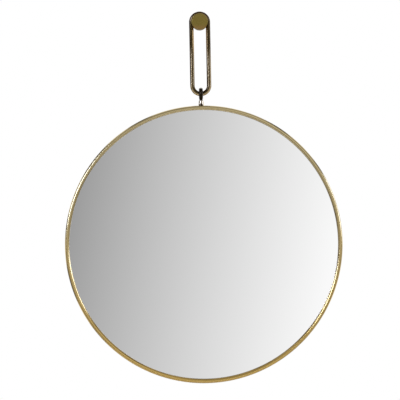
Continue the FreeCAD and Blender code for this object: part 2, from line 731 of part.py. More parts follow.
def make_backing_board():
    """Fibreboard disc behind the glass, with a pilot hole for each tab screw."""
    body = new_body("backing_board", FRAME_HEIGHT)
    sketch = new_sketch(body, "XY_Plane", "backing_board_outline")
    chamfer = "(%s - sizes.board_edge_chamfer)" % BOARD_RADIUS
    draw_outline(sketch, [
        ("0", minus(BOARD_REAR)),
        (chamfer, minus(BOARD_REAR)),
        (BOARD_RADIUS, "-(%s + sizes.board_edge_chamfer)" % BOARD_REAR),
        (BOARD_RADIUS, minus(BOARD_FRONT)),
        ("0", minus(BOARD_FRONT)),
    ])
    turned(body, sketch, "backing_board_turned")
    cut_notch(body, "backing_board_notch")
    hole = new_sketch(body, "XZ_Plane", "backing_board_hole_outline")
    across = "%s * cos(%s deg)" % (TAB_SCREW_RADIUS, TAB_TURN)
    up = "-%s * sin(%s deg)" % (TAB_SCREW_RADIUS, TAB_TURN)
    draw_circle(hole, across, up, "sizes.tab_screw_diameter / 2 + sizes.fit_clearance")
    drilled = pocket(body, hole, "backing_board_hole", "2 * (%s + sizes.tab_screw_length)" % TAB_REAR,
                     both_ways=True)
    repeated_about_y(body, [drilled], "backing_board_holes", TAB_COUNT)
    return body


def make_retaining_tabs():
    """Tabs on the rim's inner face, bent over the board's rear edge. The first is drawn on the body's +X."""
    body = new_body("retaining_tabs", FRAME_HEIGHT, turn=TAB_TURN)
    sketch = new_sketch(body, "XY_Plane", "retaining_tab_outline")
    wall_face = "(sqrt(%s ^ 2 - (sizes.tab_width / 2) ^ 2) - sizes.fit_clearance)" % BAND_INNER
    leg_face = "(%s - sizes.tab_thickness)" % wall_face
    leg_end = "(%s + sizes.tab_leg)" % BOARD_REAR
    reach_end = "(%s - sizes.tab_reach)" % BAND_INNER
    draw_outline(sketch, [
        (wall_face, minus(leg_end)),
        (wall_face, minus(TAB_REAR)),
        (reach_end, minus(TAB_REAR)),
        (reach_end, minus(BOARD_REAR)),
        (leg_face, minus(BOARD_REAR)),
        (leg_face, minus(leg_end)),
    ])
    bent = extruded(body, sketch, "retaining_tab_bent", "sizes.tab_width")
    hole = new_sketch(body, "XZ_Plane", "retaining_tab_hole_outline")
    draw_circle(hole, TAB_SCREW_RADIUS, "0", "sizes.tab_screw_diameter / 2 + sizes.hole_clearance")
    drilled = pocket(body, hole, "retaining_tab_hole", "2 * (%s + sizes.cut_overrun)" % BOARD_REAR,
                     both_ways=True)
    repeated_about_y(body, [bent, drilled], "retaining_tabs_round", TAB_COUNT)
    return body


def make_tab_screws():
    """Round-headed screws through the tabs into the board."""
    body = new_body("tab_screws", FRAME_HEIGHT, turn=TAB_TURN)
    sketch = new_sketch(body, "XY_Plane", "tab_screw_outline")
    axis = TAB_SCREW_RADIUS
    shank = "%s + sizes.tab_screw_diameter / 2" % axis
    head = "%s + sizes.tab_screw_head_diameter / 2" % axis
    head_rear = "(%s - sizes.tab_screw_head_height)" % TAB_REAR
    point_depth = "(%s + sizes.tab_screw_length)" % TAB_REAR
    shank_depth = "(%s - sizes.tab_screw_tip)" % point_depth
    draw_outline(sketch, [
        (axis, minus(head_rear)),
        (head, minus(head_rear), "sizes.tab_screw_head_round"),
        (head, minus(TAB_REAR)),
        (shank, minus(TAB_REAR)),
        (shank, minus(shank_depth)),
        (axis, minus(point_depth)),
    ])
    draw_turning_axis(sketch, axis)
    turned(body, sketch, "tab_screw_turned", axis="Axis0")
    cross = new_sketch(body, "XZ_Plane", "tab_screw_recess_outline")
    draw_cross(cross, axis, "0", "sizes.tab_recess_span", "sizes.tab_recess_width")
    pocket(body, cross, "tab_screw_recess", "%s + sizes.tab_recess_depth" % head_rear, flipped=True)
    repeated_about_y(body, None, "tab_screws_round", TAB_COUNT)
    return body


def make_wall_bumpers():
    """Rubber feet on the board's rear face, which keep the rim off the wall."""
    body = new_body("wall_bumpers", FRAME_HEIGHT, turn=BUMPER_TURN)
    sketch = new_sketch(body, "XY_Plane", "wall_bumper_outline")
    foot = "%s + sizes.bumper_base_diameter / 2" % BUMPER_RADIUS
    face = "%s + sizes.bumper_face_diameter / 2" % BUMPER_RADIUS
    draw_outline(sketch, [(BUMPER_RADIUS, minus(BOARD_REAR)), (foot, minus(BOARD_REAR)),
                          (face, "0", "sizes.bumper_round"), (BUMPER_RADIUS, "0")])
    draw_turning_axis(sketch, BUMPER_RADIUS)
    turned(body, sketch, "wall_bumper_moulded", axis="Axis0")
    repeated_about_y(body, None, "wall_bumpers_round", BUMPER_COUNT)
    return body


def make_setting_blocks():
    """Two strips under the glass's lower edge, which carry its weight."""
    body = new_body("setting_blocks", FRAME_HEIGHT, turn=SETTING_BLOCK_TURN)
    sketch = new_sketch(body, "XY_Plane", "setting_block_section")
    inner = "(%s + sizes.fit_clearance)" % GLASS_RADIUS
    outer = "(%s - sizes.fit_clearance)" % BAND_INNER
    draw_outline(sketch, [(inner, minus(GLASS_REAR)), (outer, minus(GLASS_REAR)),
                          (outer, minus(GLASS_FRONT)), (inner, minus(GLASS_FRONT))])
    strip = turned(body, sketch, "setting_block_strip", sweep="sizes.setting_block_sweep", centred=True)
    repeated_about_y(body, [strip], "setting_blocks_pair", SETTING_BLOCK_COUNT,
                     sweep="sizes.setting_block_spread")
    return body


# Making, testing and writing

MAKERS = [
    make_wall_plug, make_wall_screw, make_peg_barrel, make_cap_spigot, make_peg_cap, make_chain_link,
    make_eye_bolt, make_eye_collar, make_hanger_block, make_eye_washer, make_spring_washer, make_eye_nut,
    make_front_hoop, make_rim_band, make_glazing_gasket, make_mirror_glass, make_cushion_sheet,
    make_backing_board, make_retaining_tabs, make_tab_screws, make_wall_bumpers, make_setting_blocks,
]


def check_document():
    for thing in doc.Objects:
        if "Invalid" in thing.State or "Error" in thing.State:
            raise RuntimeError("%s failed: %s" % (thing.Name, thing.State))


def check_shape(node):
    shape = node.Shape
    if shape.isNull() or not shape.isValid() or not shape.Solids:
        raise RuntimeError("%s has no valid solid" % node.Label)


def main():
    fill_sheet()
    nodes = [make() for make in MAKERS]
    doc.recompute()
    check_document()
    for node in nodes:
        check_shape(node)
    os.makedirs("parts", exist_ok=True)
    for node in nodes:
        node.Shape.exportStep("parts/%s.step" % node.Label)
        box = node.Shape.BoundBox
        print("%-16s solids %d  volume %10.1f  x %7.1f %7.1f  y %6.1f %6.1f  z %7.1f %7.1f" % (
            node.Label, len(node.Shape.Solids), node.Shape.Volume,
            box.XMin, box.XMax, box.YMin, box.YMax, box.ZMin, box.ZMax))


main()
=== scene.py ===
import math

import bpy
from mathutils import Matrix, Vector


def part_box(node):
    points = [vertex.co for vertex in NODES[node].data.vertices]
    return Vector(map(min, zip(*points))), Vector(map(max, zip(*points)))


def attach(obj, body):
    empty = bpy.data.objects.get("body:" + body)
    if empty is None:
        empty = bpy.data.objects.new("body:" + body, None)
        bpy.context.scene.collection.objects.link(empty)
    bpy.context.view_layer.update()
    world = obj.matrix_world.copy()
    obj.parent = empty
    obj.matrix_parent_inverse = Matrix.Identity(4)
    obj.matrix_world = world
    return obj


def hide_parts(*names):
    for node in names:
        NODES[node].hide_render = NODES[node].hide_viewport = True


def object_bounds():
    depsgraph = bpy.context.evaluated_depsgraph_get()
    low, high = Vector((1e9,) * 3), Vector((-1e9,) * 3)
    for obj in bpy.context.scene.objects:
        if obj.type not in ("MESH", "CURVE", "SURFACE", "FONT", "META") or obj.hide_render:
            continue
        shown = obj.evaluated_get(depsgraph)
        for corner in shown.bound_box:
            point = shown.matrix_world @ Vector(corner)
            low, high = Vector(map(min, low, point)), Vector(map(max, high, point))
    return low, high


# Round wall mirror in a brass hoop, hung by one long link from a peg on the wall.
# Lengths are in metres. The mirror faces -Y, +Z is up, and the wall's plane is y = 0.

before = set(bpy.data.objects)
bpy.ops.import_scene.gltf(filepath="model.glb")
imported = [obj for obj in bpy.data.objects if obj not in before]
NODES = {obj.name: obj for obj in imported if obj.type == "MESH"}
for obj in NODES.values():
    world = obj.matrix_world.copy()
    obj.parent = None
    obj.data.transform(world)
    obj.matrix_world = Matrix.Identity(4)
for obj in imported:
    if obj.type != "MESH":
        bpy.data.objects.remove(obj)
CAD_BOX = [list(corner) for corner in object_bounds()]

# Camera. The hoop's radius and centre in the photograph give its scale and its aim.
PHOTO_SIDE = 400
SENSOR_WIDTH_MM = 36.0
CAMERA_DISTANCE = 6.0
HOOP_RADIUS_PIXELS = 138.99
HOOP_CENTRE_PIXELS = (203.8, 244.42)
LEAN = math.radians(1.08)

# The hoop as its solid has it
HOOP_LOW, HOOP_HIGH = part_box("front_hoop")
HOOP_CENTRE = (HOOP_LOW + HOOP_HIGH) / 2
HOOP_RADIUS = (HOOP_HIGH.x - HOOP_LOW.x) / 2
HOOP_POINTS = [vertex.co - HOOP_CENTRE for vertex in NODES["front_hoop"].data.vertices]
HOOP_WIDTH = HOOP_RADIUS - min(math.hypot(point.x, point.z) for point in HOOP_POINTS)
METRES_PER_PIXEL = HOOP_RADIUS / HOOP_RADIUS_PIXELS

# The finer hoop: steps across its round face and round the frame, the angle from which an edge
# stays sharp, and how near to the outside a point of the solid counts as its rim
HOOP_FACE_STEPS = 28
HOOP_ROUND_STEPS = 720
HOOP_SHARP_ANGLE = math.radians(30)
HOOP_RIM_TOLERANCE = HOOP_WIDTH / 1000

# Floor: its drop below the object, its side, and the radii up to which it is solid and seen at all
FLOOR_DROP = 0.27
FLOOR_SIDE = 6.0
FLOOR_SOLID_RADIUS = 0.5
FLOOR_FADED_RADIUS = 1.2
FLOOR_COLOUR = (0.86, 0.86, 0.86)
FLOOR_ROUGHNESS = 0.9
FLOOR_GRAIN_SCALE = 400.0
FLOOR_TINTS = ((0.88, 0.86, 0.83), (0.91, 0.89, 0.86))

# Key lamp
KEY_PLACE = (-2.2, -2.0, 0.9)
KEY_SIZE = (1.2, 1.6)
KEY_POWER = 15.0

# What the mirror and the metal show, as shares of white. A depth here is the Y part of a direction:
# -1 looks straight into the room in front of the mirror, and 1 at the wall behind it.
# The wall that the mirror shows has a level straight ahead of the camera, and grows from the
# mirror's left edge to its right one and from its foot to its top.
WALL_LEVEL = 0.653
WALL_GROWTH_ACROSS = 0.665
WALL_GROWTH_UP = -0.141
WALL_LIMITS = (0.25, 1.0)
WALL_DEPTHS = (-0.975, -0.93)
MIRROR_SPREAD = 2 * HOOP_RADIUS / CAMERA_DISTANCE

# The room round that wall is cloudy between two levels, and turns white towards the back
ROOM_CLOUD_SCALE = 1.7
ROOM_CLOUD_DETAIL = 1.0
ROOM_LEVELS = (0.27, 0.53)
WHITE_DEPTHS = (-0.1, 0.35)
WHITE = (1.0, 1.0, 1.0, 1.0)

# Range that most of a noise's values lie in
NOISE_RANGE = (0.3, 0.7)


def facing(around, off_front):
    """Direction at an angle off the front, turned round it from the right towards the top."""
    around, off_front = math.radians(around), math.radians(off_front)
    sideways = math.sin(off_front)
    return (math.cos(around) * sideways, -math.cos(off_front), math.sin(around) * sideways)


# Direction, radius, radius with its fading edge, and brightness of each soft box
SOFT_BOXES = [
    (facing(150, 34), math.radians(3), math.radians(6), 10.0),
    (facing(159, 40), math.radians(3), math.radians(6), 10.0),
    (facing(168, 48), math.radians(3), math.radians(6), 9.0),
    (facing(8, 76), math.radians(5), math.radians(9), 5.0),
    (facing(22, 84), math.radians(4), math.radians(8), 5.0),
]
SOFT_BOX_COLOUR = (0.78, 0.95, 1.55)

# Dark things at the sides of the room: first and last angle of each, round the front from the
# right, half the width of its soft edge, the depths where all set in and end, how dark they are,
# and their angle off the front
DARK_THINGS = [
    (28, 35), (51, 60), (112, 122), (134, 150), (168, 176), (189, 204), (216, 230), (246, 276),
]
DARK_EDGE = math.radians(2)
DARK_FRONT_DEPTHS = (-0.35, -0.05)
DARK_REAR_DEPTHS = (0.9, 0.7)
DARK_SHARE = 0.93
SIDEWAYS = 90


class Tree:
    """Short way to add nodes to a node tree and to join them."""

    def __init__(self, tree):
        self.tree = tree

    def node(self, kind, inputs=(), **settings):
        """Adds a node. inputs gives its sockets, by name or number, a value or another socket."""
        made = self.tree.nodes.new(kind)
        for name, setting in settings.items():
            setattr(made, name, setting)
        for name, value in dict(inputs).items():
            if isinstance(value, bpy.types.NodeSocket):
                self.tree.links.new(value, made.inputs[name])
            else:
                made.inputs[name].default_value = value
        return made

    def join(self, shader, **sockets):
        """Joins node outputs to the shader's sockets, named with underscores for spaces."""
        for name, output in sockets.items():
            self.tree.links.new(output, shader.inputs[name.replace("_", " ")])

    def maths(self, operation, first, second=0.0, third=0.0):
        numbers = {0: first, 1: second, 2: third}
        return self.node("ShaderNodeMath", numbers, operation=operation).outputs[0]

    def times(self, first, second):
        return self.maths("MULTIPLY", first, second)

    def minus(self, first, second):
        return self.maths("SUBTRACT", first, second)

    def vector(self, operation, first, second=None):
        """Works on one or two vectors. A length or a dot product comes out as a number."""
        vectors = {0: first} if second is None else {0: first, 1: second}
        made = self.node("ShaderNodeVectorMath", vectors, operation=operation)
        return made.outputs["Value" if operation in ("LENGTH", "DOT_PRODUCT") else "Vector"]

    def combine(self, **parts):
        return self.node("ShaderNodeCombineXYZ", parts).outputs[0]

    def separate(self, vector):
        return self.node("ShaderNodeSeparateXYZ", {"Vector": vector}).outputs

    def spread(self, value, low, high, new_low=0.0, new_high=1.0):
        """Maps a value smoothly from one range to another, held at both ends."""
        sockets = {
            "Value": value,
            "From Min": low,
            "From Max": high,
            "To Min": new_low,
            "To Max": new_high,
        }
        made = self.node("ShaderNodeMapRange", sockets, interpolation_type="SMOOTHSTEP")
        return made.outputs["Result"]

    def mix(self, share, first, second):
        """Mixes two colours by a share."""
        first, second = [
            colour if isinstance(colour, bpy.types.NodeSocket) else (*colour, 1.0)
            for colour in (first, second)
        ]
        sockets = {0: share, 6: first, 7: second}
        return self.node("ShaderNodeMix", sockets, data_type="RGBA").outputs[2]

    def blend(self, share, first, second):
        """Mixes two numbers by a share."""
        sockets = {0: share, 2: first, 3: second}
        return self.node("ShaderNodeMix", sockets, data_type="FLOAT").outputs[0]

    def noise(self, where, scale, detail=3.0, roughness=0.5):
        sockets = {"Vector": where, "Scale": scale, "Detail": detail, "Roughness": roughness}
        return self.node("ShaderNodeTexNoise", sockets).outputs["Fac"]

    def bump(self, height, strength, distance, **normal):
        """Relief from a height, on top of another relief where that is given as Normal."""
        sockets = {"Height": height, "Strength": strength, "Distance": distance, **normal}
        return self.node("ShaderNodeBump", sockets).outputs[0]


# Camera, light and floor

def make_camera():
    """Level camera in front of the mirror, rolled by the small lean that the picture has."""
    middle = PHOTO_SIDE / 2
    across = (middle - HOOP_CENTRE_PIXELS[0]) * METRES_PER_PIXEL
    down = (middle - HOOP_CENTRE_PIXELS[1]) * METRES_PER_PIXEL
    aim_x = HOOP_CENTRE.x + across * math.cos(LEAN) - down * math.sin(LEAN)
    aim_z = HOOP_CENTRE.z - across * math.sin(LEAN) - down * math.cos(LEAN)
    data = bpy.data.cameras.new("photo_camera")
    data.sensor_width = SENSOR_WIDTH_MM
    data.lens = data.sensor_width * CAMERA_DISTANCE / (PHOTO_SIDE * METRES_PER_PIXEL)
    camera = bpy.data.objects.new("photo_camera", data)
    camera.matrix_world = (
        Matrix.Translation((aim_x, HOOP_LOW.y - CAMERA_DISTANCE, aim_z))
        @ Matrix.Rotation(LEAN, 4, "Y")
        @ Matrix.Rotation(math.radians(90), 4, "X")
    )
    bpy.context.scene.collection.objects.link(camera)
    bpy.context.scene.camera = camera


def without_dark_things(tree, level, across, depth, up):
    """The room's level with the dark things at its sides taken off."""
    flat = tree.vector("NORMALIZE", tree.combine(X=across, Z=up))
    past_front = tree.spread(depth, *DARK_FRONT_DEPTHS)
    at_side = tree.times(past_front, tree.spread(depth, *DARK_REAR_DEPTHS))
    for first, last in DARK_THINGS:
        half = math.radians(last - first) / 2
        nearness = tree.vector("DOT_PRODUCT", flat, facing((first + last) / 2, SIDEWAYS))
        shape = tree.spread(nearness, math.cos(half + DARK_EDGE), math.cos(half - DARK_EDGE))
        dark = tree.times(tree.times(shape, at_side), DARK_SHARE)
        level = tree.times(level, tree.minus(1.0, dark))
    return level


def glow_of_boxes(tree, direction):
    """Brightness of the soft boxes in a direction."""
    glow = 0.0
    for box_direction, reach, fade, brightness in SOFT_BOXES:
        nearness = tree.vector("DOT_PRODUCT", direction, box_direction)
        shape = tree.spread(nearness, math.cos(fade), math.cos(reach), 0.0, brightness)
        glow = tree.maths("MAXIMUM", shape, glow)
    return glow


def make_world():
    """White behind the object. In front, a wall that is brighter to the right, in a cloudy room
    with dark things at its sides, and the glow of soft boxes."""
    world = bpy.data.worlds.new("studio")
    world.use_nodes = True
    bpy.context.scene.world = world
    world.node_tree.nodes.clear()
    tree = Tree(world.node_tree)
    direction = tree.node("ShaderNodeTexCoord").outputs["Generated"]
    across, depth, up = tree.separate(direction)
    wall = tree.maths("MULTIPLY_ADD", across, WALL_GROWTH_ACROSS / MIRROR_SPREAD, WALL_LEVEL)
    wall = tree.maths("MULTIPLY_ADD", up, WALL_GROWTH_UP / MIRROR_SPREAD, wall)
    darkest, brightest = WALL_LIMITS
    wall = tree.maths("MINIMUM", tree.maths("MAXIMUM", wall, darkest), brightest)
    in_wall = tree.spread(depth, *WALL_DEPTHS, 1.0, 0.0)
    cloud = tree.noise(direction, ROOM_CLOUD_SCALE, ROOM_CLOUD_DETAIL)
    room = tree.spread(cloud, *NOISE_RANGE, *ROOM_LEVELS)
    level = tree.blend(in_wall, room, wall)
    level = tree.blend(tree.spread(depth, *WHITE_DEPTHS), level, 1.0)
    level = without_dark_things(tree, level, across, depth, up)
    seen = tree.node("ShaderNodeLightPath").outputs["Is Camera Ray"]
    strength = tree.maths("MAXIMUM", level, seen)
    backdrop = tree.node("ShaderNodeBackground", {"Color": WHITE, "Strength": strength})
    glow = {"Color": (*SOFT_BOX_COLOUR, 1.0), "Strength": glow_of_boxes(tree, direction)}
    boxes = tree.node("ShaderNodeBackground", glow)
    both = tree.node("ShaderNodeAddShader", {0: backdrop.outputs[0], 1: boxes.outputs[0]})
    tree.node("ShaderNodeOutputWorld", {"Surface": both.outputs[0]})


def make_lamp(name, place, target, size, power):
    """Soft lamp that looks at a target. It lights matt surfaces. Polished ones don't show it."""
    data = bpy.data.lights.new(name, "AREA")
    data.shape = "RECTANGLE"
    data.size, data.size_y = size
    data.energy = power
    lamp = bpy.data.objects.new(name, data)
    lamp.location = place
    lamp.rotation_euler = (Vector(target) - Vector(place)).to_track_quat("-Z", "Y").to_euler()
    lamp.visible_glossy = False
    bpy.context.scene.collection.objects.link(lamp)


def make_floor():
    """Pale floor below the mirror, which fades out before it comes into the photograph's view."""
    reach = FLOOR_SIDE / 2
    corners = [(-reach, -reach, 0), (reach, -reach, 0), (reach, reach, 0), (-reach, reach, 0)]
    mesh = bpy.data.meshes.new("floor")
    mesh.from_pydata(corners, [], [(0, 1, 2, 3)])
    floor = bpy.data.objects.new("floor", mesh)
    floor.location.z = CAD_BOX[0][2] - FLOOR_DROP
    bpy.context.scene.collection.objects.link(floor)
    material, tree, shader = new_material("floor_paper", FLOOR_COLOUR, FLOOR_ROUGHNESS)
    where = tree.node("ShaderNodeTexCoord").outputs["Object"]
    tint = tree.mix(tree.noise(where, FLOOR_GRAIN_SCALE), *FLOOR_TINTS)
    distance = tree.vector("LENGTH", where)
    solid = tree.spread(distance, FLOOR_SOLID_RADIUS, FLOOR_FADED_RADIUS, 1.0, 0.0)
    tree.join(shader, Base_Color=tint, Alpha=solid)
    mesh.materials.append(material)


def new_material(name, colour, roughness, metallic=0.0):
    """Material with one principled shader, its tree, and the shader."""
    material = bpy.data.materials.new(name)
    material.use_nodes = True
    shader = material.node_tree.nodes["Principled BSDF"]
    shader.inputs["Base Color"].default_value = (*colour, 1.0)
    shader.inputs["Roughness"].default_value = roughness
    shader.inputs["Metallic"].default_value = metallic
    return material, Tree(material.node_tree), shader


def dress(thing, material):
    """Puts the material in every slot of an object."""
    if not thing.material_slots:
        thing.data.materials.append(material)
    for slot in thing.material_slots:
        slot.material = material


# The piece that is finer than its solid

def hoop_outline():
    """Radius and depth of each point round the hoop's section."""
    inner = HOOP_RADIUS - HOOP_WIDTH
    outside = HOOP_RADIUS - HOOP_RIM_TOLERANCE
    rim = [point.y for point in HOOP_POINTS if math.hypot(point.x, point.z) > outside]
    shoulder, front, rear = HOOP_CENTRE.y + min(rim), HOOP_LOW.y, HOOP_HIGH.y
    rise = shoulder - front
    arc_radius = ((HOOP_WIDTH / 2) ** 2 + rise ** 2) / (2 * rise)
    half_sweep = math.asin(HOOP_WIDTH / 2 / arc_radius)
    middle = HOOP_RADIUS - HOOP_WIDTH / 2
    outline = [(inner, rear), (inner, (rear + shoulder) / 2)]
    for step in range(HOOP_FACE_STEPS + 1):
        angle = half_sweep * (2 * step / HOOP_FACE_STEPS - 1)
        depth = front + arc_radius * (1 - math.cos(angle))
        outline.append((middle + arc_radius * math.sin(angle), depth))
    return outline + [(HOOP_RADIUS, (rear + shoulder) / 2), (HOOP_RADIUS, rear)]


def make_hoop():
    """Front hoop with a fine round face, turned about the frame's axis."""
    outline = hoop_outline()
    count = len(outline)
    points, faces = [], []
    for turn in range(HOOP_ROUND_STEPS):
        angle = 2 * math.pi * turn / HOOP_ROUND_STEPS
        start, following = turn * count, (turn + 1) % HOOP_ROUND_STEPS * count
        for step, (radius, depth) in enumerate(outline):
            height = HOOP_CENTRE.z + radius * math.sin(angle)
            points.append((radius * math.cos(angle), depth, height))
            after = (step + 1) % count
            faces.append((start + step, start + after, following + after, following + step))
    mesh = bpy.data.meshes.new("hoop")
    mesh.from_pydata(points, [], faces)
    mesh.shade_smooth()
    mesh.set_sharp_from_angle(angle=HOOP_SHARP_ANGLE)
    hoop = bpy.data.objects.new("hoop", mesh)
    bpy.context.scene.collection.objects.link(hoop)
    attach(hoop, "mirror")
    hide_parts("front_hoop")
    return hoop


# Materials

def surroundings(tree):
    """Object coordinates, their three parts, and those of the direction that the surface faces."""
    texture = tree.node("ShaderNodeTexCoord")
    where = texture.outputs["Object"]
    return where, tree.separate(where), tree.separate(texture.outputs["Normal"])


# Values of a metal's grain between which its roughness goes from the least to the greatest
METAL_GRAIN_RANGE = (0.25, 0.75)


def metal(name, dark, light, roughness, grain_scale=600.0, bump=0.02, painted_light_and_tones=None, thread=None,
          edge_tint=(1, 1, 1)):
    """Metal with a cloudy colour and a fine grain. The function for extra colours adds painted
    highlights and painted dark reflection on most parts, lathe rings and a redder foot on the cap;
    thread adds ridges.
    """
    material, tree, shader = new_material(name, light, sum(roughness) / 2, metallic=1.0)
    where, place, faces = surroundings(tree)
    cloud = tree.noise(where, scale=18.0, detail=4.0)
    colour = tree.mix(tree.spread(cloud, *NOISE_RANGE), dark, light)
    for share, added_colour in painted_light_and_tones(tree, where, place, faces) if painted_light_and_tones else ():
        colour = tree.mix(share, colour, added_colour)
    grain = tree.noise(where, grain_scale, detail=3.0, roughness=0.6)
    relief = tree.bump(grain, strength=bump, distance=0.0005)
    if thread:
        relief = tree.bump(thread(tree, place), strength=0.9, distance=0.0004, Normal=relief)
    gloss = tree.spread(grain, *METAL_GRAIN_RANGE, *roughness)
    tree.join(shader, Base_Color=colour, Roughness=gloss, Normal=relief)
    shader.inputs["Specular Tint"].default_value = (*edge_tint, 1.0)
    return material


# The hoop's brass: its roughness, the length of noise that goes to a radian, which draws its marks
# out round the hoop, the height above the centre, in radii, from which its painted top light is
# palest, the shares of its width off the middle where the painted dark reflection and shade at its
# edges set in and are full, the values of noise where its patches do, their share of the painted
# dark colour, and the roughness of the lacquer
HOOP_ROUGHNESS = (0.12, 0.18)
HOOP_MARKS_PER_RADIAN = 0.01
HOOP_PALEST_HEIGHT = 0.7
HOOP_EDGE_SHARES = (0.30, 0.46)
HOOP_PATCH_RANGE = (0.52, 0.60)
HOOP_PATCH_SHARE = 0.5
HOOP_COAT_ROUGHNESS = 0.08


def hoop_metal():
    """Lacquered brass with fine marks round the hoop. Its top is painted paler for light from
    above, and its edges have patches of painted dark reflection and shade.
    """
    material, tree, shader = new_material(
        "hoop_brass", (0.73, 0.56, 0.22), roughness=0.16, metallic=1.0)
    where = tree.node("ShaderNodeTexCoord").outputs["Object"]
    x, y, z = tree.separate(tree.vector("SUBTRACT", where, HOOP_CENTRE))
    flat = tree.combine(X=x, Y=z)
    radius = tree.vector("LENGTH", flat)
    around = tree.times(tree.maths("ARCTAN2", z, x), HOOP_MARKS_PER_RADIAN)
    polar = tree.combine(X=radius, Y=y, Z=around)
    marks = tree.noise(polar, scale=3000.0, detail=3.0, roughness=0.6)
    cloud = tree.noise(where, scale=14.0, detail=4.0)
    # Painted light: the hoop is painted paler and less yellow towards its top, standing in for
    # light from above.
    height = tree.spread(z, -HOOP_RADIUS, HOOP_RADIUS * HOOP_PALEST_HEIGHT)
    low = tree.mix(cloud, (0.71, 0.46, 0.10), (0.79, 0.53, 0.15))
    high = tree.mix(cloud, (0.67, 0.53, 0.25), (0.74, 0.59, 0.30))
    # Painted dark reflection and shade: patches of a dark colour along both edges of the round
    # face.
    off_middle = tree.maths("ABSOLUTE", tree.minus(radius, HOOP_RADIUS - HOOP_WIDTH / 2))
    at_edge = tree.spread(off_middle, *[share * HOOP_WIDTH for share in HOOP_EDGE_SHARES])
    spots = tree.noise(flat, scale=9.0, detail=2.0)
    patches = tree.spread(spots, *HOOP_PATCH_RANGE, 0.0, HOOP_PATCH_SHARE)
    painted_light_and_tones = tree.times(at_edge, patches)
    colour = tree.mix(painted_light_and_tones, tree.mix(height, low, high), (0.14, 0.09, 0.035))
    relief = tree.bump(marks, strength=0.015, distance=0.0002)
    gloss = tree.spread(marks, *NOISE_RANGE, *HOOP_ROUGHNESS)
    tree.join(shader, Base_Color=colour, Roughness=gloss, Normal=relief)
    shader.inputs["Coat Weight"].default_value = 1.0
    shader.inputs["Coat Roughness"].default_value = HOOP_COAT_ROUGHNESS
    return material


# Where the link's painted highlights set in and are full: how far the surface faces outward, which
# is negative inside the loop, and the distance from the link's lower end for the foot and from its
# upper end for the crown, in radii of its bends. A painted line sets in at its half width off its
# middle and is full at this share of it.
LINK_INWARD = (-0.2, -0.7)
LINK_FOOT_BENDS = (1.2, 0.7)
LINK_CROWN_BENDS = (1.0, 0.6)
LINE_FULL_SHARE = 0.45


def link_painted_highlights(tree, where, place, faces):
    """Painted highlights inside the link's upper half, in two lines along each lower leg, and in
    one line along the foot and one along the crown, where the round rod would reflect the soft
    boxes."""
    low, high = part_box("chain_link")
    bend = (high.x - low.x) / 2
    x, _, z = place
    nearest = tree.maths("MINIMUM", tree.maths("MAXIMUM", z, low.z + bend), high.z - bend)
    outward = tree.vector("NORMALIZE", tree.combine(X=x, Z=tree.minus(z, nearest)))
    side = tree.vector("DOT_PRODUCT", outward, tree.combine(**dict(zip("XYZ", faces))))

    def line(measure, middle, half_width):
        off = tree.maths("ABSOLUTE", tree.minus(measure, middle))
        return tree.spread(off, half_width, LINE_FULL_SHARE * half_width)

    middle = (low.z + high.z) / 2
    upper = tree.spread(z, middle - bend, middle + bend)
    foot = tree.spread(z, *[low.z + bends * bend for bends in LINK_FOOT_BENDS])
    legs = tree.minus(tree.minus(1.0, upper), foot)
    crown = tree.spread(z, *[high.z - bends * bend for bends in LINK_CROWN_BENDS])
    # Painted highlights: pale lines standing in for reflections of the soft boxes on the round rod.
    return [
        (tree.times(tree.spread(side, *LINK_INWARD), upper), (0.44, 0.28, 0.10)),
        (tree.times(line(faces[0], middle=-0.25, half_width=0.30), legs), (0.58, 0.43, 0.22)),
        (tree.times(line(faces[0], middle=0.66, half_width=0.34), legs), (0.29, 0.21, 0.10)),
        (tree.times(line(side, middle=0.55, half_width=0.45), foot), (0.74, 0.57, 0.32)),
        (tree.times(line(side, middle=0.10, half_width=0.45), crown), (0.24, 0.16, 0.08)),
    ]


# Lengths below the ring's top where its painted highlight sets in and is full
RING_TOP_LENGTHS = (0.004, 0.001)


def ring_painted_highlight(tree, where, place, faces):
    """Painted highlight on the ring's top, standing in for light from above."""
    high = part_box("eye_bolt")[1]
    at_top = tree.spread(place[2], *[high.z - length for length in RING_TOP_LENGTHS])
    return [(at_top, (0.60, 0.58, 0.50))]


# The collar's painted dark reflection, a line down its front: the shares of its height between
# which it narrows, how far to the side the surface faces at its borders there, how soft they are,
# and the
# Y part of the way that the surface faces where the line sets in and is full
COLLAR_LINE_HEIGHTS = (0.2, 0.55)
COLLAR_LINE_WIDTHS = (0.75, 0.14)
COLLAR_LINE_SOFTNESS = 0.08
COLLAR_FRONT = (0.0, -0.3)


def collar_painted_reflection(tree, where, place, faces):
    """Painted dark reflection: a dark line down the collar's front that widens at its foot."""
    low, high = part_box("eye_collar")
    sideways = tree.maths("ABSOLUTE", faces[0])
    heights = [low.z + share * (high.z - low.z) for share in COLLAR_LINE_HEIGHTS]
    width = tree.spread(place[2], *heights, *COLLAR_LINE_WIDTHS)
    inside = tree.minus(width, sideways)
    line = tree.spread(inside, -COLLAR_LINE_SOFTNESS, COLLAR_LINE_SOFTNESS)
    return [(tree.times(line, tree.spread(faces[1], *COLLAR_FRONT)), (0.05, 0.035, 0.02))]


# The cap: the values of noise where a ring of the lathe sets in and is full, its share, the heights
# above the middle, in radii, where the redder metal does, and its share
CAP_RING_RANGE = (0.4, 0.6)
CAP_RING_SHARE = 0.3
CAP_RED_HEIGHTS = (-0.25, -0.75)
CAP_RED_SHARE = 0.85


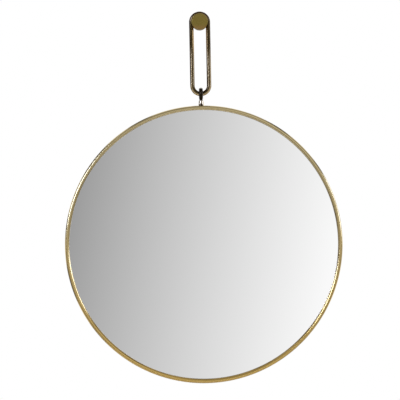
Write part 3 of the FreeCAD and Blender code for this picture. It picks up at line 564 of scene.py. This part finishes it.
def cap_wear(tree, where, place, faces):
    """Redder metal towards the foot of the disc, and fine rings left by the lathe."""
    low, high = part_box("peg_cap")
    half = (high.z - low.z) / 2
    rings = tree.combine(X=tree.vector("LENGTH", where))
    ring_noise = tree.noise(rings, scale=2500.0, detail=2.0)
    lathe = tree.spread(ring_noise, *CAP_RING_RANGE, 0.0, CAP_RING_SHARE)
    heights = [height * half for height in CAP_RED_HEIGHTS]
    lower = tree.spread(place[2], *heights, 0.0, CAP_RED_SHARE)
    return [(lathe, (0.33, 0.25, 0.07)), (lower, (0.36, 0.22, 0.07))]


# Threads: their pitches, and how far behind the wall's plane the wall screw's begins
SPIGOT_PITCH = 0.0015
SCREW_PITCH = 0.0026
SCREW_THREAD_START = 0.004


def thread_along_y(pitch, start=None):
    """Ridges of a screw thread along Y, all along or from a start on."""
    def ridges(tree, place):
        x, y, z = place
        along = tree.times(y, 2 * math.pi / pitch)
        turn = tree.maths("ARCTAN2", z, x)
        wave = tree.maths("SINE", tree.maths("ADD", along, turn))
        if start is None:
            return wave
        return tree.times(wave, tree.maths("GREATER_THAN", y, start))
    return ridges


# Other materials: the cloud's share of their colour next to the speckle's, and the values of noise
# between which the speckle goes from dark to light
PLAIN_CLOUD_SHARE = 0.35
PLAIN_SPECKLE_RANGE = (0.35, 0.65)


def plain(name, dark, light, roughness, scale, bump=0.1, stretch=(1.0, 1.0, 1.0)):
    """Non-metal surface with a fine speckle and relief, which can be stretched into fibres."""
    material, tree, shader = new_material(name, light, roughness)
    where = tree.node("ShaderNodeTexCoord").outputs["Object"]
    speckle = tree.noise(tree.vector("MULTIPLY", where, stretch), scale, detail=4.0, roughness=0.6)
    cloud = tree.noise(where, scale=12.0, detail=3.0)
    speckled = tree.spread(speckle, *PLAIN_SPECKLE_RANGE)
    share = tree.blend(PLAIN_CLOUD_SHARE, speckled, tree.spread(cloud, *NOISE_RANGE))
    relief = tree.bump(speckle, strength=bump, distance=0.0003)
    tree.join(shader, Base_Color=tree.mix(share, dark, light), Normal=relief)
    return material


# Y part of the way that the glass's surface faces, where its front and its back set in and are
# full, and the roughness of what isn't front
GLASS_FRONT = (-0.6, -0.9)
GLASS_BACK = (0.6, 0.9)
GLASS_EDGE_ROUGHNESS = 0.35


def mirror_material():
    """Silvering that shows through the glass's front, grey paint on its back, and a green edge."""
    material, tree, shader = new_material(
        "silvered_glass", (0.95, 0.95, 0.95), roughness=0.0, metallic=1.0)
    where, _, faces = surroundings(tree)
    front = tree.spread(faces[1], *GLASS_FRONT)
    back = tree.spread(faces[1], *GLASS_BACK)
    silver = tree.mix(tree.noise(where, scale=5.0), (0.945, 0.945, 0.945), (0.955, 0.955, 0.955))
    paint = tree.mix(tree.noise(where, scale=300.0), (0.30, 0.31, 0.32), (0.36, 0.37, 0.38))
    colour = tree.mix(front, tree.mix(back, (0.42, 0.60, 0.52), paint), silver)
    gloss = tree.spread(front, 0.0, 1.0, GLASS_EDGE_ROUGHNESS, 0.0)
    tree.join(shader, Base_Color=colour, Metallic=front, Roughness=gloss)
    return material


def dress_nodes():
    """Gives every CAD node its material, of a dark and a light colour. A metal's roughness has a
    least and a greatest value."""
    band = metal("band_brass", (0.46, 0.32, 0.12), (0.54, 0.38, 0.16), (0.34, 0.46),
                 grain_scale=900.0, bump=0.1)
    link = metal("link_brass", (0.055, 0.036, 0.013), (0.085, 0.058, 0.022), (0.14, 0.22),
                 painted_light_and_tones=link_painted_highlights, edge_tint=(0.36, 0.27, 0.16))
    eye = metal("eye_brass", (0.035, 0.026, 0.016), (0.055, 0.042, 0.026), (0.16, 0.24),
                painted_light_and_tones=ring_painted_highlight)
    collar = metal("collar_brass", (0.68, 0.56, 0.37), (0.76, 0.65, 0.46), (0.18, 0.26),
                   painted_light_and_tones=collar_painted_reflection)
    cap = metal("cap_brass", (0.26, 0.19, 0.04), (0.30, 0.22, 0.05), (0.26, 0.34),
                grain_scale=900.0, painted_light_and_tones=cap_wear)
    peg = metal("peg_brass", (0.22, 0.16, 0.06), (0.30, 0.22, 0.09), (0.24, 0.34),
                grain_scale=700.0)
    spigot = metal("spigot_brass", (0.24, 0.18, 0.07), (0.32, 0.24, 0.10), (0.24, 0.34),
                   grain_scale=700.0, thread=thread_along_y(SPIGOT_PITCH))
    zinc = metal("zinc_steel", (0.50, 0.52, 0.55), (0.62, 0.63, 0.64), (0.28, 0.42))
    screw = metal("screw_zinc", (0.50, 0.52, 0.55), (0.62, 0.63, 0.64), (0.28, 0.42),
                  thread=thread_along_y(SCREW_PITCH, SCREW_THREAD_START))
    steel = metal("tab_steel", (0.42, 0.43, 0.44), (0.55, 0.56, 0.57), (0.32, 0.48),
                  grain_scale=300.0)
    rubber = plain("seal_rubber", (0.012, 0.012, 0.012), (0.025, 0.025, 0.025),
                   roughness=0.6, scale=1500.0)
    bumper = plain("bumper_rubber", (0.02, 0.02, 0.02), (0.035, 0.035, 0.035),
                   roughness=0.55, scale=1500.0)
    nylon = plain("plug_nylon", (0.40, 0.40, 0.38), (0.46, 0.46, 0.43),
                  roughness=0.45, scale=900.0)
    foam = plain("foam", (0.62, 0.62, 0.60), (0.74, 0.74, 0.72),
                 roughness=0.9, scale=1200.0, bump=0.4)
    board = plain("fibreboard", (0.23, 0.145, 0.075), (0.33, 0.22, 0.125),
                  roughness=0.75, scale=420.0, bump=0.2, stretch=(1.0, 1.0, 0.35))
    materials = {
        "rim_band": band,
        "chain_link": link,
        "eye_bolt": eye,
        "eye_collar": collar,
        "peg_cap": cap,
        "peg_barrel": peg,
        "cap_spigot": spigot,
        "wall_screw": screw,
        "eye_washer": zinc,
        "spring_washer": zinc,
        "eye_nut": zinc,
        "tab_screws": zinc,
        "hanger_block": steel,
        "retaining_tabs": steel,
        "glazing_gasket": rubber,
        "setting_blocks": rubber,
        "wall_bumpers": bumper,
        "wall_plug": nylon,
        "cushion_sheet": foam,
        "backing_board": board,
        "mirror_glass": mirror_material(),
    }
    for node, material in materials.items():
        dress(NODES[node], material)


bpy.context.scene.view_settings.view_transform = "Standard"
make_camera()
make_world()
make_floor()
OBJECT_MIDDLE = (Vector(CAD_BOX[0]) + Vector(CAD_BOX[1])) / 2
make_lamp("key", KEY_PLACE, OBJECT_MIDDLE, KEY_SIZE, KEY_POWER)
dress_nodes()
dress(make_hoop(), hoop_metal())
